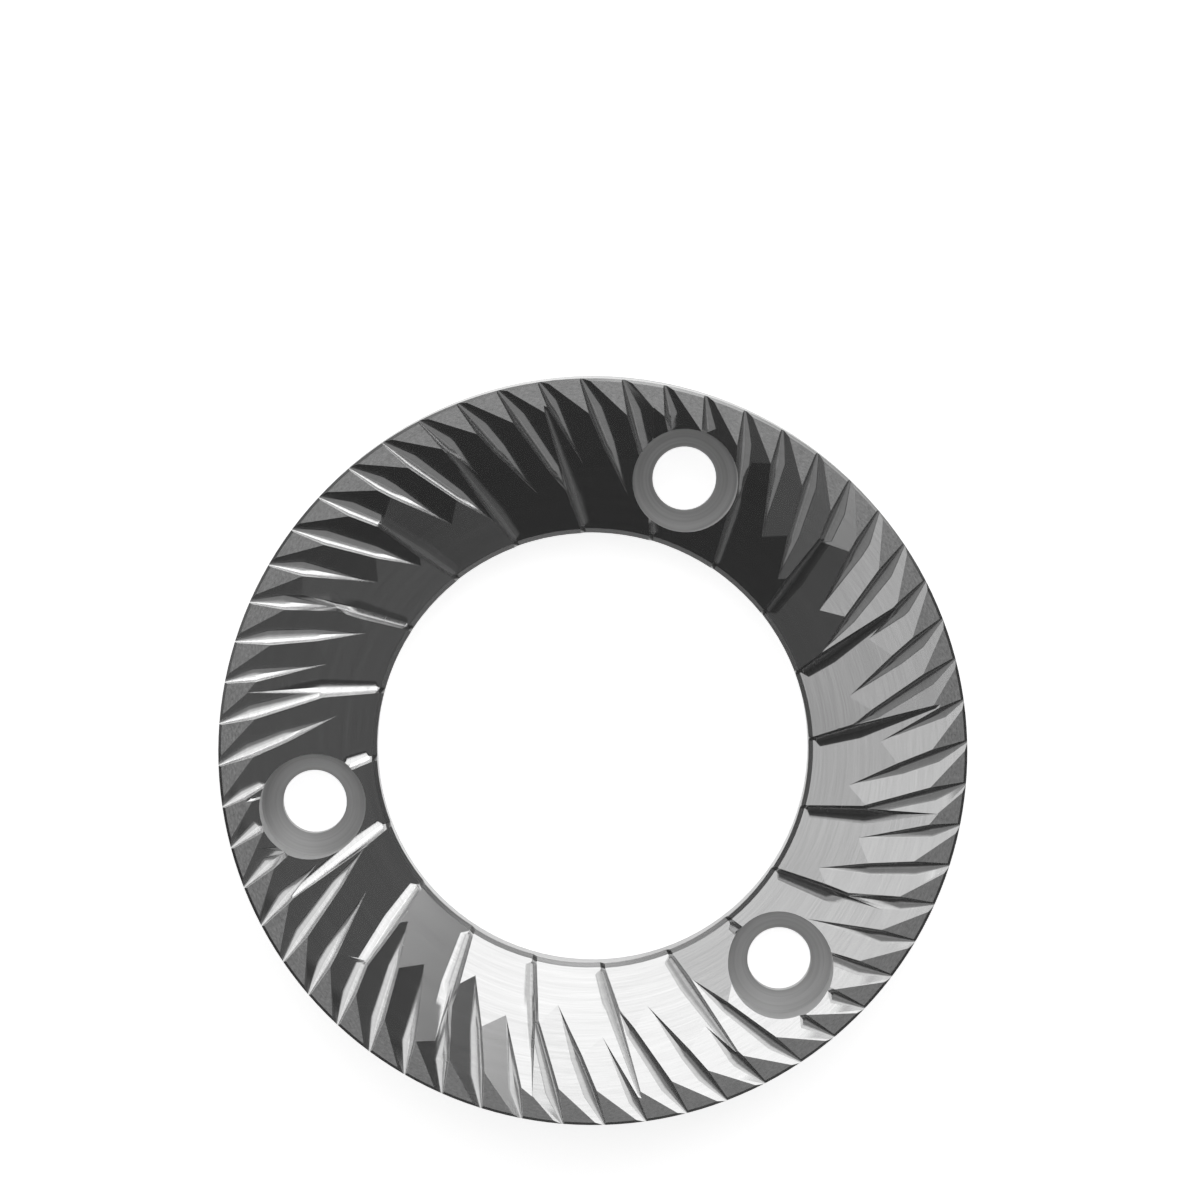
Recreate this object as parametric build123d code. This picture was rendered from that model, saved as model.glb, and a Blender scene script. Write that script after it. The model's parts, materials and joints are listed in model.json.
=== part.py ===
# Flat grinding burr: one turned and ground steel ring with cutting teeth on its upper face.
# Sizes are in millimetres and angles in degrees. The back face lies on z = 0, centred on the origin.
import os
from math import asin, cos, radians, sin, tan

from build123d import *

# Ring blank
OUTER_D = 64.0
BORE_D = 37.2
THICKNESS = 9.0
BACK_CHAMFER = 0.4
RIM_BREAK_WIDTH = 0.24
RIM_BREAK_DEPTH = 0.18
BORE_BREAK_WIDTH = 0.45
BORE_BREAK_DEPTH = 0.12

# Breaker grooves, from the bore outward
BREAKER_COUNT = 20
BREAKER_ANGLE = 1.7
BREAKER_OFFSET = 5.25
BREAKER_DEPTH = 5.94
BREAKER_FALL = 27.0
BREAKER_BACK = 23.1
BREAKER_WALL = 68.0
BREAKER_RUN = 14.0

# Fine grooves, from the rim inward, between the cutting lands
FINE_COUNT = 56
FINE_ANGLE = 1.9
FINE_OFFSET = 11.0
FINE_DEPTH = 0.255
FINE_FALL = 14.2
FINE_BACK = 28.5
FINE_WALL = 66.5
FINE_RUN = 12.5

# Screw holes
HOLE_COUNT = 3
HOLE_ANGLE = 71.2
HOLE_CIRCLE_D = 49.0
HOLE_D = 5.5
HEAD_D = 9.0
HEAD_DEPTH = 5.6

# Cutters run past the ring by this much
OVERRUN = 4.0


def groove(angle, radius, offset, depth, fall, back, wall, start, end):
    """Cutter for one groove: a leaning V drawn along a straight line that deepens toward the bore.

    The line crosses the circle of the given radius at the given angle, where the V is depth below the
    upper face, and would touch the circle of radius offset. It runs from start to end along the line.
    """
    lean = asin(offset / radius)
    outward = Vector(cos(radians(angle)), sin(radians(angle)), 0)
    around = Vector(-outward.Y, outward.X, 0)
    inward = outward * -cos(lean) - around * sin(lean)
    across = outward * sin(lean) - around * cos(lean)
    slope = tan(radians(fall))
    reach = depth + end * slope + OVERRUN
    origin = outward * radius + inward * start + Vector(0, 0, THICKNESS - depth - start * slope)
    outline = Polyline(
        (0, 0),
        (reach / tan(radians(back)), reach),
        (-reach / tan(radians(wall)), reach),
        close=True,
    )
    section = Plane(origin, x_dir=across, z_dir=inward) * make_face(outline)
    along = inward - Vector(0, 0, slope)
    return extrude(section, amount=(end - start) * along.length, dir=along)


def around_axis(count, first):
    """Angles of a full ring of repeats."""
    return [first + turn * 360 / count for turn in range(count)]


# Turned ring with its outer edges broken
up = (Align.CENTER, Align.CENTER, Align.MIN)
burr = Cylinder(OUTER_D / 2, THICKNESS, align=up)
top = burr.faces().sort_by(Axis.Z)[-1]
burr = chamfer(top.edges(), RIM_BREAK_WIDTH, RIM_BREAK_DEPTH, reference=top)
burr = chamfer(burr.edges().group_by(Axis.Z)[0], BACK_CHAMFER)
burr -= Cylinder(BORE_D / 2, 3 * THICKNESS)

# Breaker grooves, whose cutters start beyond their outer end and stop inside the bore
for angle in around_axis(BREAKER_COUNT, BREAKER_ANGLE):
    burr -= groove(
        angle,
        BORE_D / 2,
        BREAKER_OFFSET,
        BREAKER_DEPTH,
        BREAKER_FALL,
        BREAKER_BACK,
        BREAKER_WALL,
        -BREAKER_RUN,
        OVERRUN,
    )

# Upper edge of the bore, broken all round, and its lower edge
bore = burr.faces().filter_by(GeomType.CYLINDER).sort_by(SortBy.RADIUS)[0]
toothed = bore.edges().filter_by(lambda edge: edge.center().Z > BACK_CHAMFER)
burr = chamfer(toothed, BORE_BREAK_DEPTH, BORE_BREAK_WIDTH, reference=bore)
bore = burr.faces().filter_by(GeomType.CYLINDER).sort_by(SortBy.RADIUS)[0]
burr = chamfer(bore.edges().group_by(Axis.Z)[0], BACK_CHAMFER)

# Fine grooves
for angle in around_axis(FINE_COUNT, FINE_ANGLE):
    burr -= groove(
        angle,
        OUTER_D / 2,
        FINE_OFFSET,
        FINE_DEPTH,
        FINE_FALL,
        FINE_BACK,
        FINE_WALL,
        -OVERRUN,
        FINE_RUN,
    )

# Screw holes, each with a round recess and a cone for a countersunk head
cone = (HEAD_D - HOLE_D) / 2
seat = THICKNESS - HEAD_DEPTH
for angle in around_axis(HOLE_COUNT, HOLE_ANGLE):
    place = Pos(Vector(HOLE_CIRCLE_D / 2, 0, 0).rotate(Axis.Z, angle))
    burr -= place * Cylinder(HOLE_D / 2, 3 * THICKNESS)
    recess = Pos(0, 0, seat) * Cylinder(HEAD_D / 2, THICKNESS, align=up)
    taper = Pos(0, 0, seat - cone) * Cone(HOLE_D / 2, HEAD_D / 2, cone, align=up)
    burr -= place * (recess + taper)

os.makedirs("parts", exist_ok=True)
export_step(burr, "parts/burr.step")
print("burr:", len(burr.solids()), "solid,", len(burr.faces()), "faces,", round(burr.volume, 1), "mm3")
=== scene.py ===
# %% [markdown]
# A flat grinding burr is a hardened steel ring. Its upper face is a crown of cutting teeth: deep breaker
# facets by the bore, fine slopes and steep cutting walls further out, and flat lands along the rim.
# The solid that comes with the frame already has every one of those faces. This lesson hollows the valleys
# between the teeth, gives each kind of face the finish that its own machine left on it, and lights the ring
# the way polished steel needs.

# %% Load the frame
import json
import math

import bmesh
import bpy
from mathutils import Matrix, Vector


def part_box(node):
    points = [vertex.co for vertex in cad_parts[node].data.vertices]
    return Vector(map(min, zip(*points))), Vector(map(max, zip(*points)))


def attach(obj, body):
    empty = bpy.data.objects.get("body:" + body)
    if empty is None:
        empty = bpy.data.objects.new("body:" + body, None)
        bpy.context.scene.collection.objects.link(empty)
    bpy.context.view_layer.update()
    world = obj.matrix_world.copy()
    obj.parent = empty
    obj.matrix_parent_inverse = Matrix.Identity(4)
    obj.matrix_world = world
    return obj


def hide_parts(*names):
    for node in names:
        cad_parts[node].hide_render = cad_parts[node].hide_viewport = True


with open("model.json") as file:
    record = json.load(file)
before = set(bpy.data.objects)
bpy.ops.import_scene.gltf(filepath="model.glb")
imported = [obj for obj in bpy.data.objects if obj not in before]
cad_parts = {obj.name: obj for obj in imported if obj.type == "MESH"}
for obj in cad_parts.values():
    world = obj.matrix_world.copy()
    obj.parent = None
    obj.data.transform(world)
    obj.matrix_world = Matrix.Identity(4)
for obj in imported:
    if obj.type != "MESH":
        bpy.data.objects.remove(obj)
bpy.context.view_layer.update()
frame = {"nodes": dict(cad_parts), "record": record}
MM = 0.001
low, high = (Vector(corner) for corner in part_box("burr"))
rim_radius = (high.x - low.x) / 2
thickness = high.z - low.z
mounts = {mount["name"]: mount for mount in frame["record"]["mounts"]}
bore_radius = mounts["centre_bore"]["dims"]["r_mm"] * MM
screws = mounts["screw_holes"]["dims"]
print("rim radius", round(rim_radius / MM, 2), "mm, thickness", round(thickness / MM, 2), "mm")

# %% [markdown]
# The solid arrives as loose flat triangles. Steel shows every one of them, because a reflection jumps where
# two triangles meet. So the ring is copied, its corners are merged, and the flat triangles of one facet are
# joined into one face.

# %% Copy the ring and clean its mesh
FLAT_ANGLE = math.radians(0.1)
MERGE_DISTANCE = 0.0005 * MM

shell = bmesh.new()
shell.from_mesh(frame["nodes"]["burr"].data)
bmesh.ops.remove_doubles(shell, verts=shell.verts, dist=MERGE_DISTANCE)
bmesh.ops.dissolve_limit(shell, angle_limit=FLAT_ANGLE, verts=shell.verts, edges=shell.edges)
open_edges = [edge for edge in shell.edges if len(edge.link_faces) != 2]
print("ring copied:", len(shell.faces), "faces,", len(open_edges), "open edges")

# %% [markdown]
# Each face of the burr was made by one machine, and its direction tells which. Lands look straight up.
# Breaker facets and fine slopes lean by two different angles. Cutting walls stand steeply. What lies by a
# screw hole, the bore or the rim was turned, and the back was ground flat. A face's direction and place
# therefore choose its finish, with nothing painted by hand.

# %% Sort the faces by how they were made
FINISHES = [
    "lapped_land",
    "ground_slope",
    "ground_breaker",
    "cut_wall",
    "turned_ring",
    "broken_edge",
    "turned_seat",
    "ground_back",
]
SCREW_ANGLE = math.radians(71.2)
HEAD_RADIUS = 4.5 * MM
EDGE_BREAK = 0.5 * MM
BREAKER_LEAN = math.radians(33.6)
SLOPE_LEAN = math.radians(30.9)
LAND_LEAN = math.radians(3)
WALL_LEAN = math.radians(45)
PLACE_SLACK = 0.03 * MM

screw_places = []
for turn in range(screws["count"]):
    angle = SCREW_ANGLE + turn * math.tau / screws["count"]
    reach = screws["pcd_mm"] / 2 * MM
    screw_places.append(Vector((reach * math.cos(angle), reach * math.sin(angle))))


def finish_of(face):
    """The finish of one face, from its lean away from straight up and from where its corners lie."""
    corners = [vert.co.xy for vert in face.verts]
    lean = face.normal.angle(Vector((0, 0, 1)))
    for place in screw_places:
        if max((corner - place).length for corner in corners) < HEAD_RADIUS + PLACE_SLACK:
            return "turned_seat"
    if lean > math.pi - LAND_LEAN:
        return "ground_back"
    by_rim = min(corner.length for corner in corners) > rim_radius - EDGE_BREAK and lean > LAND_LEAN
    by_bore = max(corner.length for corner in corners) < bore_radius + EDGE_BREAK
    if by_rim or by_bore:
        return "turned_ring" if abs(lean - math.pi / 2) < LAND_LEAN else "broken_edge"
    if lean < LAND_LEAN:
        return "lapped_land"
    if lean > WALL_LEAN:
        return "cut_wall"
    return "ground_breaker" if abs(lean - BREAKER_LEAN) < abs(lean - SLOPE_LEAN) else "ground_slope"


counts = dict.fromkeys(FINISHES, 0)
for face in shell.faces:
    finish = finish_of(face)
    face.material_index = FINISHES.index(finish)
    face.smooth = True
    counts[finish] += 1
print("faces by finish:", counts)

# %% [markdown]
# A turned face is round, and a ground one is flat. The edges inside a round face shade smoothly. Every other
# edge is marked sharp, so that each ground facet keeps one even reflection up to its border.

# %% Mark the sharp edges
SHARP_ANGLE = math.radians(14)
ROUND_FINISHES = ("turned_ring", "broken_edge", "turned_seat")

for edge in shell.edges:
    sides = {FINISHES[face.material_index] for face in edge.link_faces}
    round_face = len(sides) == 1 and sides.issubset(ROUND_FINISHES)
    edge.smooth = edge.calc_face_angle(0) < (SHARP_ANGLE if round_face else FLAT_ANGLE)
print("sharp edges:", sum(not edge.smooth for edge in shell.edges))

# %% [markdown]
# The photograph shows soft bands beside the cutting walls. A wheel with a rounded nose would leave them,
# because its groove ends in a hollow and not in a sharp corner. The hollows are inferred from those bands, and
# their width is matched. A bevel would fail here, because the walls run out to points, so each hollow is
# shaped one by one. First each valley is found, where a wall meets its groove's floor. The hollow takes a share
# of the wall's height, on the wall and on the floor, so on most walls it stops short of the cutting edge.

# %% Tell a valley from another edge
VALLEY_ANGLE = math.radians(-60)
wall_index = FINISHES.index("cut_wall")
floor_indices = (FINISHES.index("ground_slope"), FINISHES.index("ground_breaker"))


def sides_of(edge):
    """The wall and the groove floor that meet at a valley edge, or nothing for another edge."""
    if len(edge.link_faces) != 2 or edge.calc_face_angle_signed() > VALLEY_ANGLE:
        return None
    wall, floor = sorted(edge.link_faces, key=lambda face: face.material_index != wall_index)
    is_valley = wall.material_index == wall_index and floor.material_index in floor_indices
    return (wall, floor) if is_valley else None


valley_edges = [edge for edge in shell.edges if sides_of(edge)]
print("valley edges:", len(valley_edges))

# %% Measure the valleys
# Shares of the wall's height that a hollow takes, up the wall and up the floor
HOLLOW_SHARES = {"ground_slope": (0.66, 0.88), "ground_breaker": (0.65, 0.85)}
# Two edges are one valley where their faces' directions agree to this many decimals
KEY_DECIMALS = 3

valley_layer = shell.faces.layers.int.new("valley")
valleys = []
valley_numbers = {}
for edge in sorted(valley_edges, key=lambda edge: -edge.calc_length()):
    wall, floor = sides_of(edge)
    key = tuple(round(part, KEY_DECIMALS) for part in (*wall.normal, *floor.normal))
    if key not in valley_numbers:
        start, end = (vert.co.copy() for vert in edge.verts)
        along = (end - start).normalized()
        rises = [along.cross(face.normal) for face in (wall, floor)]
        valley_numbers[key] = len(valleys) + 1
        valleys.append({
            "start": start,
            "along": along,
            "normals": [wall.normal.copy(), floor.normal.copy()],
            "rises": [rise if rise.z > 0 else -rise for rise in rises],
            "shares": HOLLOW_SHARES[FINISHES[floor.material_index]],
            "outlines": [],
            "ends": [],
        })
    number = valley_numbers[key]
    if any(face[valley_layer] not in (0, number) for face in (wall, floor)):
        continue
    valley = valleys[number - 1]
    if wall[valley_layer] == 0:
        spots = [vert.co - valley["start"] for vert in wall.verts]
        valley["outlines"].append([(spot @ valley["along"], spot @ valley["rises"][0]) for spot in spots])
    valley["ends"] += [(vert.co - valley["start"]) @ valley["along"] for vert in edge.verts]
    wall[valley_layer] = floor[valley_layer] = number
    edge.smooth = True
print("valleys:", len(valleys))

# %% [markdown]
# A wall's height changes along its valley in straight runs, from one corner of its outline to the next. So
# the faces beside the valley are cut across at those corners, and then lengthwise into strips that taper as
# the wall does. bisect_plane makes all these cuts, and the strips follow the hollow's border exactly.


# %% Cut the strips
def wall_height(valley, place):
    """Height of the wall above the valley, measured on the wall, at a place along the valley."""
    heights = [0.0]
    for outline in valley["outlines"]:
        for (here, low_end), (there, high_end) in zip(outline, outline[1:] + outline[:1]):
            if here != there and min(here, there) <= place <= max(here, there):
                heights.append(low_end + (high_end - low_end) * (place - here) / (there - here))
    return max(heights)


def cut(faces, point, direction):
    """Cut faces along one plane and return all the pieces."""
    edges = {edge for face in faces for edge in face.edges}
    verts = {vert for face in faces for vert in face.verts}
    pieces = bmesh.ops.bisect_plane(
        shell, geom=[*faces, *edges, *verts], dist=MERGE_DISTANCE, plane_co=point, plane_no=direction
    )["geom"]
    return [piece for piece in pieces if isinstance(piece, bmesh.types.BMFace)]


STRIPS = 4
STATION_GAP = 0.4 * MM

by_valley = [([], []) for valley in valleys]
for face in shell.faces:
    if face[valley_layer]:
        by_valley[face[valley_layer] - 1][face.material_index != wall_index].append(face)
for valley, pieces in zip(valleys, by_valley):
    origin, along = valley["start"], valley["along"]
    first, last = min(valley["ends"]), max(valley["ends"])
    stations = [first]
    for place in sorted(place for outline in valley["outlines"] for place, height in outline):
        if stations[-1] + STATION_GAP < place < last - STATION_GAP:
            stations.append(place)
    stations.append(last)
    for faces, rise, normal, part in zip(pieces, valley["rises"], valley["normals"], valley["shares"]):
        for place in stations:
            faces = cut(faces, origin + along * place, along)
        for here, there in zip(stations, stations[1:]):
            span = [face for face in faces if here < (face.calc_center_median() - origin) @ along < there]
            reaches = [part * wall_height(valley, place) for place in (here, there)]
            for step in range(1, STRIPS + 1):
                near_end = along * here + rise * reaches[0] * step / STRIPS
                far_end = along * there + rise * reaches[1] * step / STRIPS
                span = cut(span, origin + near_end, normal.cross(far_end - near_end).normalized())
print("ring cut into", len(shell.faces), "faces")

# %% [markdown]
# The corners of the strips are then laid on a cubic curve. It leaves the wall and the floor smoothly, and the
# pull sets how flat its middle is. Where a groove opens into the bore or the rim, the corners on that border
# move too, so nothing gapes. The curve's own directions are kept for the corners, and the strips shade as one
# smooth hollow.

# %% Lay the strips on the hollow
HOLLOW_PULL = 0.33
OPEN_FINISHES = ("turned_ring", "broken_edge")


def bent(valley, side, spot):
    """Where a spot on one side of a valley goes on the hollow, and the hollow's direction there."""
    offset = spot - valley["start"]
    place, height = offset @ valley["along"], offset @ valley["rises"][side]
    tall = wall_height(valley, place)
    reach = valley["shares"][side] * tall
    if reach < MERGE_DISTANCE or height >= reach:
        return spot, valley["normals"][side]
    here = valley["rises"][side] * reach
    there = valley["rises"][1 - side] * valley["shares"][1 - side] * tall
    points = [here, here * (1 - HOLLOW_PULL), there * (1 - HOLLOW_PULL), there]
    share = min(1.0, 1 - height / reach) / 2
    rest = 1 - share
    curve = (points[0] * rest ** 3 + points[1] * 3 * share * rest ** 2
             + points[2] * 3 * share ** 2 * rest + points[3] * share ** 3)
    slope = ((points[1] - points[0]) * rest ** 2 + (points[2] - points[1]) * 2 * share * rest
             + (points[3] - points[2]) * share ** 2)
    normal = valley["along"].cross(slope).normalized()
    return valley["start"] + valley["along"] * place + curve, normal if normal.z > 0 else -normal


# A direction of zero leaves a corner to Blender's own shading
AUTOMATIC = Vector((0, 0, 0))
corner_normals = []
moves = {}
for face in shell.faces:
    number = face[valley_layer]
    side = int(face.material_index != wall_index)
    for vert in face.verts:
        if number == 0:
            corner_normals.append(AUTOMATIC)
            continue
        spot, normal = bent(valleys[number - 1], side, vert.co)
        corner_normals.append(normal)
        others = [other for other in vert.link_faces if other[valley_layer] != number]
        if all(FINISHES[other.material_index] in OPEN_FINISHES for other in others):
            moves[vert] = spot
for vert, spot in moves.items():
    vert.co = spot
print("corners laid on hollows:", len(moves))

# %% [markdown]
# The shaped copy becomes the piece that is seen. It rides on the one body of the part and stands in for the
# solid, so the solid itself is left as it is.

# %% Make the finished ring
ring_mesh = bpy.data.meshes.new("finished_ring")
shell.to_mesh(ring_mesh)
shell.free()
ring_mesh.normals_split_custom_set(corner_normals)
ring = bpy.data.objects.new("finished_ring", ring_mesh)
bpy.context.scene.collection.objects.link(ring)
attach(ring, "root")
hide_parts("burr")
print("finished ring:", len(ring_mesh.polygons), "faces")

# %% [markdown]
# Node graphs stay readable when every node is added the same way. One small function adds a node, sets its
# values and links its inputs. Colours are written as sRGB hex values, and a second function makes them linear.


# %% Helpers for materials
def linear(code):
    """Linear RGBA of an sRGB hex colour."""
    parts = [int(code[start:start + 2], 16) / 255 for start in (1, 3, 5)]
    return [part / 12.92 if part <= 0.04045 else ((part + 0.055) / 1.055) ** 2.4 for part in parts] + [1]


def add(tree, kind, links=None, values=None, **settings):
    """Add one node with its settings, constant inputs and links from other sockets."""
    node = tree.nodes.new(kind)
    for name, value in settings.items():
        setattr(node, name, value)
    for socket, value in (values or {}).items():
        node.inputs[socket].default_value = value
    for socket, source in (links or {}).items():
        tree.links.new(source, node.inputs[socket])
    return node


def new_material(name):
    """An empty material with its output and a shader joined to it."""
    material = bpy.data.materials.new(name)
    material.use_nodes = True
    tree = material.node_tree
    tree.nodes.clear()
    shader = add(tree, "ShaderNodeBsdfPrincipled")
    add(tree, "ShaderNodeOutputMaterial", links={"Surface": shader.outputs["BSDF"]})
    return material, tree, shader


print("middle grey in linear light:", round(linear("#808080")[0], 3))

# %% [markdown]
# Every finish here is the same hardened tool steel, a neutral grey metal. What differs is the lay, the
# direction and spacing of the fine lines that the wheel or tool left. On the teeth the lines run round the
# ring's axis, so the pattern is drawn in rings: distance from the axis across the lay, arc length along it.
# In a screw seat the lines run round that hole instead. Real lines are 0.02 to 0.05 mm apart, which is too
# fine to show in the render, so all of them are drawn several times coarser.

# %% Lay of the lines
LINE_DETAIL = 2.0
LINE_ROUGHNESS = 0.6
mean_radius = (rim_radius + bore_radius) / 2


def ring_lay(tree, centres):
    """Distance from the nearest centre, angle about the axis and height, as a vector for a lay of rings."""
    place = add(tree, "ShaderNodeTexCoord").outputs["Object"]
    parts = add(tree, "ShaderNodeSeparateXYZ", links={0: place}).outputs
    flat = add(tree, "ShaderNodeCombineXYZ", links={0: parts["X"], 1: parts["Y"]}).outputs[0]
    gaps = []
    for centre in centres:
        gap = add(tree, "ShaderNodeVectorMath", operation="DISTANCE", links={0: flat}, values={1: centre})
        gaps.append(gap.outputs["Value"])
    nearest = gaps[0]
    for gap in gaps[1:]:
        nearest = add(tree, "ShaderNodeMath", operation="MINIMUM", links={0: nearest, 1: gap}).outputs[0]
    turn = add(tree, "ShaderNodeMath", operation="ARCTAN2", links={0: parts["Y"], 1: parts["X"]}).outputs[0]
    return add(tree, "ShaderNodeCombineXYZ", links={0: nearest, 1: turn, 2: parts["Z"]}).outputs[0]


def lines(tree, lay, apart_mm, run_mm):
    """Noise drawn out into lines that are apart_mm apart and run_mm long on the ring's middle circle."""
    scale = (1 / (apart_mm * MM), mean_radius / (run_mm * MM), 1 / (run_mm * MM))
    stretched = add(tree, "ShaderNodeVectorMath", operation="MULTIPLY", links={0: lay}, values={1: scale})
    noise = add(
        tree,
        "ShaderNodeTexNoise",
        links={"Vector": stretched.outputs[0]},
        values={"Scale": 1.0, "Detail": LINE_DETAIL, "Roughness": LINE_ROUGHNESS},
    )
    return noise.outputs["Fac"]


print("lines are measured on a circle of radius", round(mean_radius / MM, 1), "mm")

# %% [markdown]
# One function makes all the steels. Fine lines make the steel a little rougher and darker where the tool tore
# it, and a faint bump follows them. Broad bands, five times as wide, come from the slow wander of the wheel.

# %% Ground and turned steel
STEEL = "#CCCCCC"
MICROMETRE = 1e-6
BAND_RATIO = 5
# Noise stays mostly between these values, and only its upper part counts as torn
MOST_VALUES = (0.3, 0.7)
TORN_VALUES = (0.35, 0.75)


def steel(name, rough, apart_mm, run_mm, bump_um, streak, band, centres=((0, 0, 0),), grey=STEEL):
    """Bare steel: rough from its smooth lines to its torn ones, with fine streaks and broad bands of grey."""
    material, tree, shader = new_material(name)
    lay = ring_lay(tree, centres)
    fine = lines(tree, lay, apart_mm, run_mm)
    broad = lines(tree, lay, BAND_RATIO * apart_mm, BAND_RATIO * run_mm)
    most = {"From Min": MOST_VALUES[0], "From Max": MOST_VALUES[1]}
    torn = {"From Min": TORN_VALUES[0], "From Max": TORN_VALUES[1]}
    roughness = add(tree, "ShaderNodeMapRange", links={"Value": fine},
                    values={**torn, "To Min": rough[0], "To Max": rough[1]})
    shade = add(tree, "ShaderNodeMapRange", links={"Value": fine},
                values={**most, "To Min": 1 + streak, "To Max": 1 - streak})
    cloud = add(tree, "ShaderNodeMapRange", links={"Value": broad},
                values={**most, "To Min": 1 - band, "To Max": 1 + band})
    both = add(tree, "ShaderNodeMath", operation="MULTIPLY", links={0: shade.outputs[0], 1: cloud.outputs[0]})
    colour = add(tree, "ShaderNodeVectorMath", operation="SCALE", links={"Scale": both.outputs[0]},
                 values={0: linear(grey)[:3]})
    bump = add(tree, "ShaderNodeBump", links={"Height": fine},
               values={"Strength": 1.0, "Distance": bump_um * MICROMETRE})
    shader.inputs["Metallic"].default_value = 1.0
    tree.links.new(colour.outputs[0], shader.inputs["Base Color"])
    tree.links.new(roughness.outputs[0], shader.inputs["Roughness"])
    tree.links.new(bump.outputs[0], shader.inputs["Normal"])
    return material


finishes = {}
print("steel is", STEEL, "with bands", BAND_RATIO, "times as wide as its lines")

# %% [markdown]
# The teeth carry four finishes, each named for the way it seems to have been made. The lands were lapped on a
# plate, and their short scratches stretch each highlight outwards. The slopes and breaker facets were ground
# by the side of a wheel, and they are the mirrors of the burr. The walls were cut by its edge. The greys are
# matched to the photograph under the lamps below, so they are not measures of the real steel.

# %% Finishes of the teeth
LAPPED_GREY = "#ACACAC"
WALL_GREY = "#E0E0E0"
LAND_STRETCH = 0.6
QUARTER_TURN = 0.25

# Tool steel lapped with loose grit: short scratches, which look grainy and a little dull
finishes["lapped_land"] = steel(
    "lapped_land", (0.20, 0.30), apart_mm=0.15, run_mm=0.3, bump_um=0.8, streak=0.20, band=0.06,
    grey=LAPPED_GREY
)
# Tool steel ground fine: nearly even, so a slope shows one clear tone
finishes["ground_slope"] = steel(
    "ground_slope", (0.20, 0.24), apart_mm=0.14, run_mm=3.0, bump_um=0.1, streak=0.03, band=0.03
)
# Tool steel ground fine by a larger wheel: long lines, which show as a faint brushing round the axis
finishes["ground_breaker"] = steel(
    "ground_breaker", (0.20, 0.22), apart_mm=0.12, run_mm=6.0, bump_um=0.02, streak=0.04, band=0.05
)
# Tool steel cut by the wheel's edge: bright, and a little rougher than the slopes
finishes["cut_wall"] = steel(
    "cut_wall", (0.20, 0.28), apart_mm=0.2, run_mm=2.0, bump_um=0.3, streak=0.05, band=0.05,
    grey=WALL_GREY
)

land_tree = finishes["lapped_land"].node_tree
land_shader = land_tree.nodes["Principled BSDF"]
land_shader.inputs["Anisotropic"].default_value = LAND_STRETCH
land_shader.inputs["Anisotropic Rotation"].default_value = QUARTER_TURN
round_axis = add(land_tree, "ShaderNodeTangent", direction_type="RADIAL", axis="Z")
land_tree.links.new(round_axis.outputs[0], land_shader.inputs["Tangent"])
print("finishes of the teeth:", list(finishes))

# %% [markdown]
# The rest of the ring is taken to be turned at the rim and the bore, with broken edges, cut by a counterbore
# in the screw seats and ground flat on the back. The photograph shows little of it, and nothing of the back.

# %% Finishes of the ring
TURNED_GREY = "#A4A4A4"
# The broken edges' grey is darker than the turned grey: painted shade on top of the steel's own grey
EDGE_PAINTED_SHADE_GREY = "#8C8C8C"
seat_centres = [(*place, 0) for place in screw_places]

# Turned tool steel: long lines round the axis, which give a satin grey
finishes["turned_ring"] = steel(
    "turned_ring", (0.27, 0.36), apart_mm=0.2, run_mm=20.0, bump_um=0.3, streak=0.10, band=0.06,
    grey=TURNED_GREY
)
# Painted shade: the darker grey draws the dark reflection along the rim and the bore into the colour of the
# broken edges
# Turned tool steel, darkened to match the thin dark outline that the photograph has along the rim and the bore
finishes["broken_edge"] = steel(
    "broken_edge", (0.25, 0.32), apart_mm=0.2, run_mm=20.0, bump_um=0.3, streak=0.08, band=0.05,
    grey=EDGE_PAINTED_SHADE_GREY
)
# Tool steel cut by a counterbore: matt, with faint rings round each hole
finishes["turned_seat"] = steel(
    "turned_seat", (0.62, 0.70), apart_mm=0.25, run_mm=10.0, bump_um=0.4, streak=0.06, band=0.10,
    centres=seat_centres
)
# Tool steel ground flat: even, with a visible brushing
finishes["ground_back"] = steel(
    "ground_back", (0.24, 0.32), apart_mm=0.2, run_mm=12.0, bump_um=0.3, streak=0.14, band=0.08
)
for finish in FINISHES:
    ring_mesh.materials.append(finishes[finish])
print("finishes:", [material.name for material in ring_mesh.materials])

# %% [markdown]
# The photograph looks almost straight down on the ring, from a little to its upper side. The lens is chosen
# so that the rim fills the same part of the frame, and a small shift puts its centre where it is there.

# %% Camera
IMAGE_SIZE = 1200
RIM_CENTRE = (592.8, 753.4)
RIM_WIDTH = 749.4
CAMERA_DISTANCE = 0.6
CAMERA_TILT = math.radians(4.5)
SENSOR = 36.0

camera_data = bpy.data.cameras.new("camera")
camera = bpy.data.objects.new("camera", camera_data)
bpy.context.scene.collection.objects.link(camera)
bpy.context.scene.camera = camera
camera_height = high.z + CAMERA_DISTANCE * math.cos(CAMERA_TILT)
camera.location = (0, CAMERA_DISTANCE * math.sin(CAMERA_TILT), camera_height)
camera.rotation_euler = (-CAMERA_TILT, 0, 0)
frame_width = 2 * rim_radius * IMAGE_SIZE / RIM_WIDTH
camera_data.sensor_width = SENSOR
camera_data.lens = SENSOR * CAMERA_DISTANCE / frame_width
camera_data.shift_x = 0.5 - RIM_CENTRE[0] / IMAGE_SIZE
camera_data.shift_y = RIM_CENTRE[1] / IMAGE_SIZE - 0.5
print("lens", round(camera_data.lens, 1), "mm")

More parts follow.
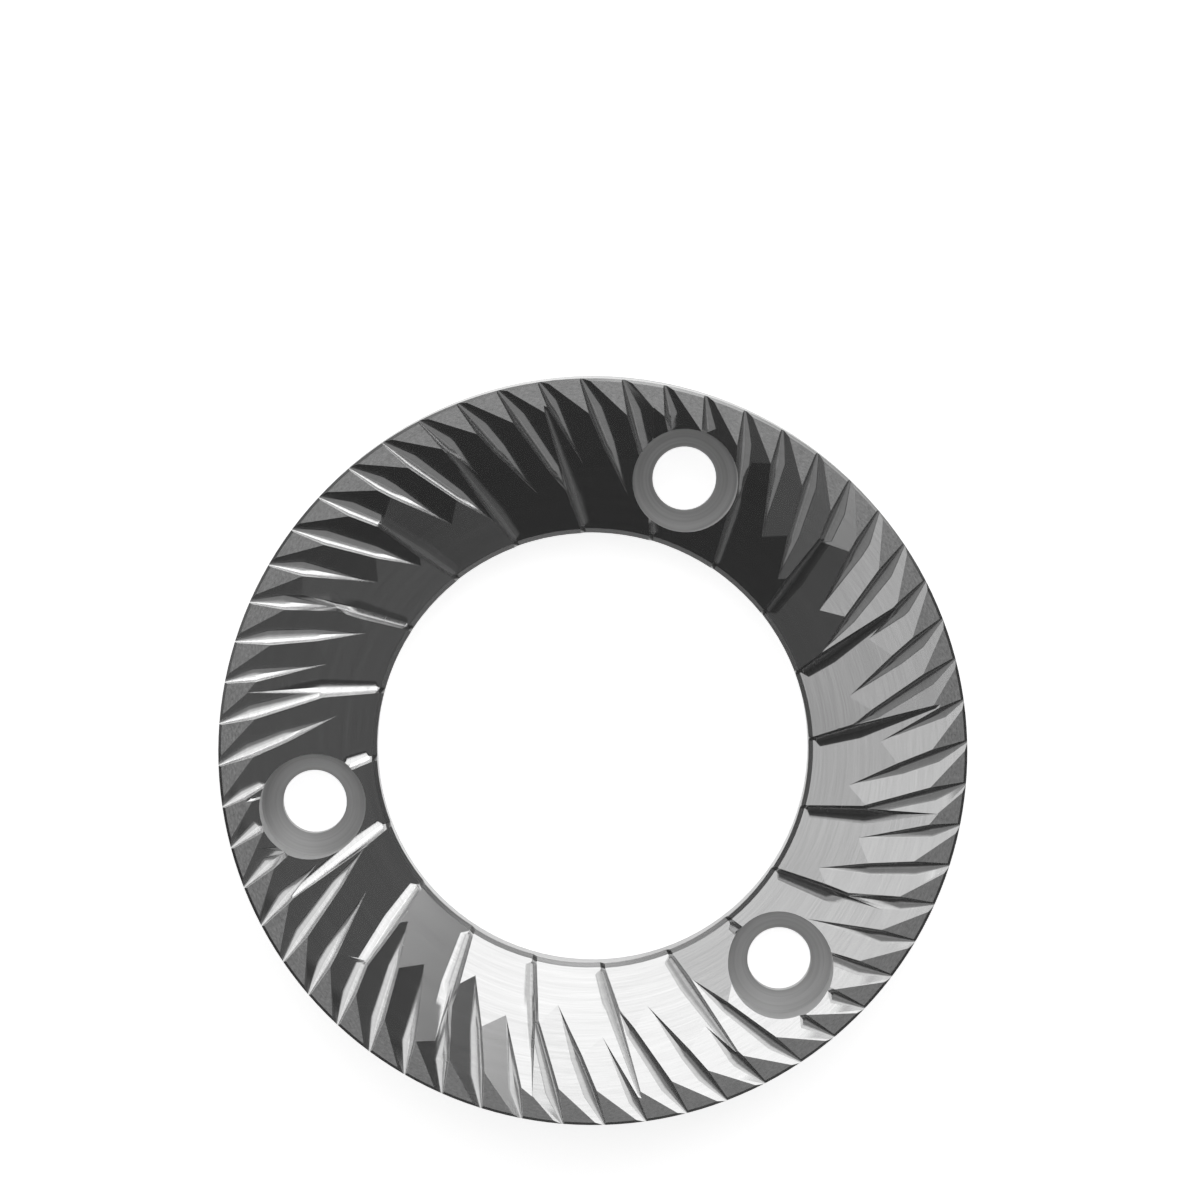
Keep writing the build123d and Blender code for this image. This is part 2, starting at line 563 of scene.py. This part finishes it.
# %% [markdown]
# Polished steel has almost no colour of its own, so it is lit by what it reflects, and each facet reflects its
# own part of the room. A soft box is a rectangular lamp that faces the ring. It is placed by its turn, where 0
# is the right of the photograph and 90 its upper side, and by its lift above the floor, both in degrees.
#
# The brightest box stands at the upper right and whitens the facets at the bottom of the ring. Two weaker ones
# and a very dim one go on round to the left, for the facets on the right of the ring. One stands higher, for
# the hollows. A wide dim one hangs overhead for the flat lands, with a small one in it. Another wide dim one,
# at the lower right, greys the facets on the left. A low strip lights the screw seats and the steep walls.
# The room is dark elsewhere, as the facets show.


# %% Soft boxes
def soft_box(name, turn, lift, distance, width, height, radiance):
    """A rectangular lamp that faces the ring, placed by its compass turn and its lift above the floor."""
    lamp_data = bpy.data.lights.new(name, "AREA")
    lamp_data.shape = "RECTANGLE"
    lamp_data.size = width
    lamp_data.size_y = height
    lamp_data.energy = radiance * math.pi * width * height
    lamp = bpy.data.objects.new(name, lamp_data)
    bpy.context.scene.collection.objects.link(lamp)
    turn, lift = math.radians(turn), math.radians(lift)
    away = Vector((math.cos(lift) * math.cos(turn), math.cos(lift) * math.sin(turn), math.sin(lift)))
    lamp.location = away * distance
    lamp.rotation_euler = away.to_track_quat("Z", "Y").to_euler()
    return lamp


lamps = [
    soft_box("key_box", turn=61, lift=28, distance=1.0, width=1.05, height=0.73, radiance=1.5),
    soft_box("fill_box", turn=122, lift=33, distance=1.0, width=0.82, height=0.5, radiance=0.85),
    soft_box("far_fill_box", turn=168, lift=28, distance=1.0, width=0.48, height=0.46, radiance=0.66),
    soft_box("upper_box", turn=95, lift=65, distance=1.0, width=0.9, height=0.64, radiance=0.75),
    soft_box("dim_box", turn=193, lift=28, distance=1.0, width=0.36, height=0.3, radiance=0.06),
    soft_box("ceiling_box", turn=90, lift=90, distance=1.4, width=2.4, height=2.4, radiance=0.24),
    soft_box("top_box", turn=120, lift=85, distance=1.2, width=0.6, height=0.5, radiance=0.2),
    soft_box("side_box", turn=-30, lift=26, distance=1.0, width=2.0, height=0.36, radiance=0.09),
    soft_box("strip_box", turn=90, lift=9, distance=1.0, width=1.1, height=0.16, radiance=1.8),
]
print("soft boxes:", [lamp.name for lamp in lamps])

# %% [markdown]
# The floor is plain and pale. The camera and the metal also see a part of its white as a glow, so it stays
# pale without more light on the ring. The rest is lit by the lamps, which keeps the ring's soft shadow.

# %% Floor
FLOOR_SIZE = 6.0
FLOOR_GAP = 0.02 * MM

floor_shape = bmesh.new()
bmesh.ops.create_grid(floor_shape, x_segments=1, y_segments=1, size=FLOOR_SIZE / 2)
floor_mesh = bpy.data.meshes.new("floor")
floor_shape.to_mesh(floor_mesh)
floor_shape.free()
floor = bpy.data.objects.new("floor", floor_mesh)
floor.location.z = low.z - FLOOR_GAP
bpy.context.scene.collection.objects.link(floor)
print("floor at", round(floor.location.z / MM, 2), "mm")

# %% Paper of the floor
FLOOR_WHITE = "#E9E9E9"
FLOOR_GLOW = 0.78

# Matt white paper: even and pale, with no highlight of its own
floor_paper = bpy.data.materials.new("floor_paper")
floor_paper.use_nodes = True
tree = floor_paper.node_tree
tree.nodes.clear()
rays = add(tree, "ShaderNodeLightPath").outputs
seen = rays["Is Camera Ray"]
for ray in ("Is Glossy Ray", "Is Transmission Ray"):
    seen = add(tree, "ShaderNodeMath", operation="MAXIMUM", links={0: seen, 1: rays[ray]}).outputs[0]
strength = add(tree, "ShaderNodeMath", operation="MULTIPLY", links={0: seen}, values={1: FLOOR_GLOW})
paper = add(tree, "ShaderNodeBsdfDiffuse", values={"Color": linear(FLOOR_WHITE)})
glow = add(tree, "ShaderNodeEmission", links={"Strength": strength.outputs[0]})
both = add(tree, "ShaderNodeAddShader", links={0: paper.outputs[0], 1: glow.outputs[0]})
add(tree, "ShaderNodeOutputMaterial", links={"Surface": both.outputs[0]})
floor_mesh.materials.append(floor_paper)
print("floor paper:", FLOOR_WHITE, "with a glow of", FLOOR_GLOW)

# %% [markdown]
# The room is almost dark, so the facets that look past every soft box stay nearly black, as in the photograph.

# %% Room
ROOM_LIGHT = 0.035

room = bpy.data.worlds.new("room")
room.use_nodes = True
room.node_tree.nodes["Background"].inputs["Color"].default_value = (1, 1, 1, 1)
room.node_tree.nodes["Background"].inputs["Strength"].default_value = ROOM_LIGHT
bpy.context.scene.world = room
bpy.context.scene.view_settings.view_transform = "Standard"
print("room light:", ROOM_LIGHT)
